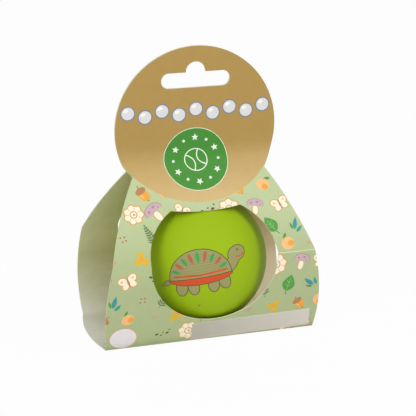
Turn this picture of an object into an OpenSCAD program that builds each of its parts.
// Hollow bouncy ball held in a folded card carrier with a round hanging header.
// X runs across the front, Y from front to back and Z up from the table under the base.
// The carrier is one die-cut blank: base, two leaning walls, two sloped hangers whose
// round tops are glued together. Each panel is its own piece, split at its score line.

/* [Ball] */
// Outer diameter of the ball
ball_d = 62; // [52:0.5:72]
// Thickness of the ball's wall
ball_wall = 3; // [1.5:0.5:8]
// How far the ball sits in front of the carrier's middle
ball_forward = 1.5; // [0:0.1:1.6]
// How far the ball sits to the right of the carrier's middle
ball_right = 1.3; // [0:0.1:2]
// Gap between the ball and the base
ball_seat_gap = 0.1; // [0.05:0.05:0.5]

/* [Valve plug] */
// Diameter of the valve hole through the ball's wall
valve_d = 3; // [2:0.1:5]
// Gap all round the plug's stem and over its inner collar
valve_fit = 0.05; // [0.03:0.01:0.1]
// How far the plug's inner collar stands out from the stem
valve_lip = 1.5; // [0.8:0.1:3]
// Thickness of the plug's inner collar
valve_collar_t = 1; // [0.5:0.1:2]
// Diameter and depth of the needle hole in the plug's outer end
needle_d = 0.7; // [0.4:0.1:1]
needle_depth = 3; // [1:0.1:3.5]
// Angle of the valve below the ball's middle
valve_drop = 24; // [0:1:40]
// Angle of the valve to the left of the front
valve_turn = 17; // [-40:1:40]

/* [Card] */
// Thickness of the card
card_t = 0.5; // [0.3:0.05:0.8]
// Card left out on each side of a score line
fold_gap = 0.1; // [0.05:0.05:0.2]
// Gap between the two layers of the header
glue_gap = 0.3; // [0.2:0.05:0.6]

/* [Lower carrier] */
// How far the ball reaches past the crease at its widest height
crease_setback = 0.5; // [0:0.1:1.5]
// Height of the crease above the ball's middle
crease_rise = 8.9; // [6:0.1:12]
// How far each wall leans out from the base to the crease
wall_lean = 7.2; // [3:0.1:12]
// Outward bow of each wall between its two score lines
wall_bow = 2; // [0.5:0.1:3]
// Width of card beside the window along the crease
side_strip_w = 17.5; // [8:0.5:30]
// Extra half width of a wall at its foot
wall_flare = 2.2; // [0:0.1:6]
// Outward bow of a wall's side edges
wall_side_bow = 1.9; // [0.5:0.1:4]
// Outward bow of the base's side edges
base_side_bow = 3.2; // [0.5:0.1:6]

/* [Window] */
// How much smaller than the ball the window's radius is
window_inset = 1.5; // [0.5:0.1:4]
// Radius of the shallow arc that closes the window's top
window_top_r = 86; // [50:1:100]
// Card between that arc's lowest point and the ball
window_top_gap = 0.4; // [0.3:0.05:4]

/* [Hanger and header] */
// Height of the bend at the header's foot above the ball's top
throat_rise = 17.9; // [14:0.1:26]
// Radius of that bend on the card's inner face
bend_r = 12; // [4:0.5:16]
// Diameter of the round header
header_d = 75; // [64:0.5:90]
// Height of the header's centre above the bend
header_rise = 12.9; // [8:0.1:20]
// Angle from straight down at which the header's circle meets the shoulders
shoulder_angle = 56; // [52:0.1:66]
// Outward bow of the hanger's side edges
hanger_side_bow = 1.3; // [0.3:0.1:3]

/* [Hanging slot] */
// Overall width of the slot
slot_w = 32; // [24:0.5:36]
// Height of the slot's straight bar
slot_h = 7; // [5:0.1:9]
// Distance from the header's top to the middle of the bar
slot_drop = 15.3; // [13:0.1:18]
// Radius of the hook's hump over the bar
hump_r = 4.6; // [3.5:0.1:6]
// Height of the hump's centre above the middle of the bar
hump_rise = 3.6; // [2:0.1:5]

/* [Glue spots] */
// Diameter of a glue spot
glue_d = 12; // [6:0.5:16]
// Gap between a glue spot and the front layer
glue_clearance = 0.05; // [0.03:0.01:0.1]
// Distance of each spot from the middle
glue_x = 20; // [12:0.5:26]

/* [Label strip] */
// Length of the paper strip on the front wall
label_w = 56.5; // [20:0.5:70]
// Thickness of the paper
label_t = 0.1; // [0.08:0.01:0.2]
// Card between the base's score line and the strip
label_low_gap = 0.9; // [0.7:0.1:3]
// Card between the strip and the window's lowest point
label_top_gap = 0.85; // [0.6:0.05:3]
// Card between the strip's right end and the corner of the crease
label_end_gap = 0.35; // [0.3:0.05:4]
// Turn of the strip out of level
label_tilt = 1; // [0:0.1:2]

/* [Hidden] */
$fn = 96;
// Sides used for the long shallow arcs
arc_fn = 360;
// Straight steps round the header's bend and along a hanger's side edge
bend_steps = 12;
bow_steps = 10;
// Overrun of every cut
cut = 2;
// Overlap of the pieces that trim one panel
lap = 0.3;

ball_r = ball_d / 2;
ball_z = card_t + ball_seat_gap + ball_r;
window_r = ball_r - window_inset;

// Inner corners of the score lines, as distances from the middle plane and heights
crease_y = ball_r - crease_setback;
crease_z = ball_z + crease_rise;
foot_y = crease_y - wall_lean;
wall_len = norm([wall_lean, crease_z - card_t]);
wall_angle = atan2(wall_lean, crease_z - card_t);
crease_half_w = window_r + side_strip_w;
foot_half_w = crease_half_w + wall_flare;
// Radius of the wall's bow on its inner face
wall_r = wall_len * wall_len / (8 * wall_bow) + wall_bow / 2;

// The hanger: a slope up to the bend, then the upright header
header_y = glue_gap / 2;
throat_z = ball_z + ball_r + throat_rise;
slope_angle = atan2(crease_y - header_y, throat_z - crease_z);
bend_reach = bend_r * tan(slope_angle / 2);
bend_z = throat_z + bend_reach;
slope_len = norm([crease_y - header_y, throat_z - crease_z]) - bend_reach;
header_r = header_d / 2;
header_z = throat_z + header_rise;
bend_len = PI * bend_r * slope_angle / 180;
// Distance along the card from the crease to the header's centre
header_s = slope_len + bend_len + header_z - bend_z;
shoulder = [header_r * sin(shoulder_angle), header_s - header_r * cos(shoulder_angle)];

// Where the ball comes through the hanger's inner face, measured along the card
ball_off = (crease_y - ball_forward) * cos(slope_angle) + crease_rise * sin(slope_angle);
ball_s = (crease_y - ball_forward) * sin(slope_angle) - crease_rise * cos(slope_angle);
ball_cap_r = sqrt(max(0, ball_r * ball_r - ball_off * ball_off));
window_top_s = ball_s + ball_cap_r + window_top_gap;

slot_z = header_z + header_r - slot_drop;

label_h = wall_len - window_r - label_low_gap - label_top_gap;
label_x = crease_half_w - label_end_gap - label_w / 2;
label_s = label_low_gap + label_h / 2 - wall_len;

// Centre and radius of the arc from low point p to high point q, bowed out to the right
function bow_r(p, q, bow) = norm(q - p) * norm(q - p) / (8 * bow) + bow / 2;
function bow_c(p, q, bow) = (p + q) / 2
    - (bow_r(p, q, bow) - bow) * [q.y - p.y, p.x - q.x] / norm(q - p);

// Half width of the flat blank at a distance below the header's centre
function header_half_w(drop) = sqrt(header_r * header_r - drop * drop);

// Points of a shallow bow from low point p to high point q, out to the right
function bow_points(p, q, bow) = [for (i = [0 : bow_steps]) let (t = i / bow_steps)
    p + t * (q - p) + 4 * t * (1 - t) * bow * [q.y - p.y, p.x - q.x] / norm(q - p)];

// The same points on the left, from the top down
function mirrored(points) = [for (i = [len(points) - 1 : -1 : 0]) [-points[i].x, points[i].y]];

// Points of the bend on a face of the given radius, from the header down to the slope
function bend_points(r) = [for (i = [0 : bend_steps]) let (a = slope_angle * i / bend_steps)
    [-header_y - bend_r + r * cos(a), bend_z - r * sin(a)]];

// A flat shape between two like arcs, one on each side
module bowed_sides(p, q, bow) {
    c = bow_c(p, q, bow);
    intersection() {
        translate(c) circle(r = bow_r(p, q, bow), $fn = arc_fn);
        translate([-c.x, c.y]) circle(r = bow_r(p, q, bow), $fn = arc_fn);
    }
}

// Draws a side profile (Y, Z) out along X, and a front outline (X, Z) out along Y
module along_x(w) {
    rotate([90, 0, 90]) linear_extrude(height = w, center = true) children();
}
module along_y(d) {
    rotate([90, 0, 0]) linear_extrude(height = d, center = true) children();
}

// Frames on the front crease: Z runs up the panel and -Y out of its printed face
module wall_frame() {
    translate([0, -crease_y, crease_z]) rotate([wall_angle, 0, 0]) children();
}
module slope_frame() {
    translate([0, -crease_y, crease_z]) rotate([-slope_angle, 0, 0]) children();
}

// Side profile of a bowed skin on the wall, between two distances from its inner face
module wall_skin(from, to) {
    intersection() {
        difference() {
            translate([wall_r - wall_bow, -wall_len / 2]) circle(r = wall_r + to, $fn = arc_fn);
            translate([wall_r - wall_bow, -wall_len / 2]) circle(r = wall_r + from, $fn = arc_fn);
        }
        translate([-wall_bow - to - cut, fold_gap - wall_len])
            square([wall_bow + to + 2 * cut, wall_len - 2 * fold_gap]);
    }
}

// One lower wall, on the front side
module wall() {
    wall_frame() difference() {
        intersection() {
            along_x(2 * (foot_half_w + wall_side_bow + cut)) wall_skin(0, card_t);
            along_y(2 * (wall_bow + card_t + cut))
                bowed_sides([foot_half_w, -wall_len], [crease_half_w, 0], wall_side_bow);
        }
        along_y(2 * (wall_bow + card_t + 2 * cut)) circle(r = window_r, $fn = arc_fn);
    }
}

// Side profile of the hanger's upper part: a short run of slope, the bend and the header
module header_profile() {
    low_z = bend_z - bend_r * sin(slope_angle) - lap;
    low = [(low_z - crease_z) * tan(slope_angle) - crease_y, low_z];
    top_z = header_z + header_r + cut;
    outer = bend_points(bend_r - card_t);
    polygon(concat(
        [[-header_y, top_z]],
        bend_points(bend_r),
        [low, low - [card_t / cos(slope_angle), 0]],
        [for (i = [bend_steps : -1 : 0]) outer[i]],
        [[-header_y - card_t, top_z]]));
}

// Outline of the slope in its own plane: shoulders that run into the header's circle,
// with the upper half of the window
module slope_outline() {
    side = bow_points([crease_half_w, 0], shoulder, hanger_side_bow);
    intersection() {
        difference() {
            union() {
                translate([0, header_s]) circle(r = header_r, $fn = arc_fn);
                polygon(concat(side, mirrored(side)));
            }
            window_top_outline();
        }
        translate([-crease_half_w - cut, fold_gap])
            square([2 * (crease_half_w + cut), slope_len + lap - fold_gap]);
    }
}

// Front outline of the bend, where the same circle runs round the curve of the card
module bend_outline() {
    mid_r = bend_r - card_t / 2;
    drop = lap + card_t;
    top = [header_half_w(header_z - bend_z - lap), bend_z + lap];
    right = [for (i = [1 : bend_steps]) let (a = slope_angle * (i - 1 / 2) / bend_steps)
        [header_half_w(header_z - bend_z + PI * mid_r * a / 180), bend_z - mid_r * sin(a)]];
    foot = [header_half_w(header_s - slope_len + drop / cos(slope_angle)),
        bend_z - mid_r * sin(slope_angle) - drop];
    side = concat([top], right, [foot]);
    polygon(concat(side, mirrored(side)));
}

// The header's disc down to the bend, with its hanging slot
module header_outline() {
    difference() {
        intersection() {
            translate([0, header_z]) circle(r = header_r, $fn = arc_fn);
            translate([-header_r - cut, bend_z + lap / 2]) square(2 * (header_r + cut));
        }
        translate([0, slot_z]) slot_outline();
    }
}

// Hanging slot: a bar with round ends and a hump in the middle
module slot_outline() {
    end_x = (slot_w - slot_h) / 2;
    square([2 * end_x, slot_h], center = true);
    translate([-end_x, 0]) circle(d = slot_h);
    translate([end_x, 0]) circle(d = slot_h);
    translate([0, hump_rise]) circle(r = hump_r);
}

module window_top_outline() {
    difference() {
        circle(r = window_r, $fn = arc_fn);
        translate([0, window_top_s + window_top_r]) circle(r = window_top_r, $fn = arc_fn);
    }
}

// One hanger with its header disc, on the front side
module hanger() {
    slope_frame() translate([0, -card_t / 2, 0]) along_y(card_t) slope_outline();
    intersection() {
        along_x(2 * (header_r + cut)) header_profile();
        union() {
            along_y(2 * (bend_r + cut)) header_outline();
            along_y(2 * (bend_r + cut)) bend_outline();
        }
    }
}

module glue_spot(side) {
    spot_t = glue_gap - glue_clearance;
    translate([side * glue_x, header_y, header_z])
        rotate([90, 0, 0]) cylinder(d = glue_d, h = spot_t);
}

// Puts its children at the ball's middle
module ball_frame() {
    translate([ball_right, -ball_forward, ball_z]) children();
}

// The same place, with Z out through the valve
module valve_frame() {
    ball_frame() rotate([90 + valve_drop, 0, -valve_turn]) children();
}

module ball_shell() {
    color("yellowgreen") difference() {
        ball_frame() difference() {
            sphere(r = ball_r);
            sphere(r = ball_r - ball_wall);
        }
        valve_frame() cylinder(d = valve_d, h = ball_r + cut);
    }
}

module valve_plug() {
    stem_r = valve_d / 2 - valve_fit;
    collar_r = valve_d / 2 + valve_lip;
    inner_r = ball_r - ball_wall;
    collar_top = sqrt(inner_r * inner_r - collar_r * collar_r) - valve_fit;
    color("olivedrab") valve_frame() {
        difference() {
            intersection() {
                translate([0, 0, collar_top - valve_collar_t])
                    cylinder(r = stem_r, h = ball_r + cut - collar_top);
                sphere(r = ball_r);
            }
            translate([0, 0, ball_r - needle_depth])
                cylinder(d = needle_d, h = needle_depth + cut);
        }
        translate([0, 0, collar_top - valve_collar_t])
            cylinder(r = collar_r, h = valve_collar_t);
    }
}

module base_panel() {
    half_y = foot_y - fold_gap;
    color("darkseagreen") linear_extrude(height = card_t) intersection() {
        bowed_sides([foot_half_w, -foot_y], [foot_half_w, foot_y], base_side_bow);
        translate([-foot_half_w - base_side_bow - cut, -half_y])
            square([2 * (foot_half_w + base_side_bow + cut), 2 * half_y]);
    }
}

module front_wall() {
    color("darkseagreen") wall();
}

module front_hanger() {
    color("tan") hanger();
}

module back_wall() {
    color("darkseagreen") mirror([0, 1, 0]) wall();
}

module back_hanger() {
    color("tan") mirror([0, 1, 0]) hanger();
}

module glue_spot_left() {
    color("ivory") glue_spot(-1);
}

module glue_spot_right() {
    color("ivory") glue_spot(1);
}

module label_strip() {
    color("lightgray") wall_frame() intersection() {
        along_x(2 * (foot_half_w + wall_side_bow)) wall_skin(card_t, card_t + label_t);
        translate([label_x, 0, label_s]) rotate([0, -label_tilt, 0])
            along_y(2 * (wall_bow + card_t + cut)) square([label_w, label_h], center = true);
    }
}

ball_shell();
valve_plug();
base_panel();
front_wall();
front_hanger();
back_wall();
back_hanger();
glue_spot_left();
glue_spot_right();
label_strip();
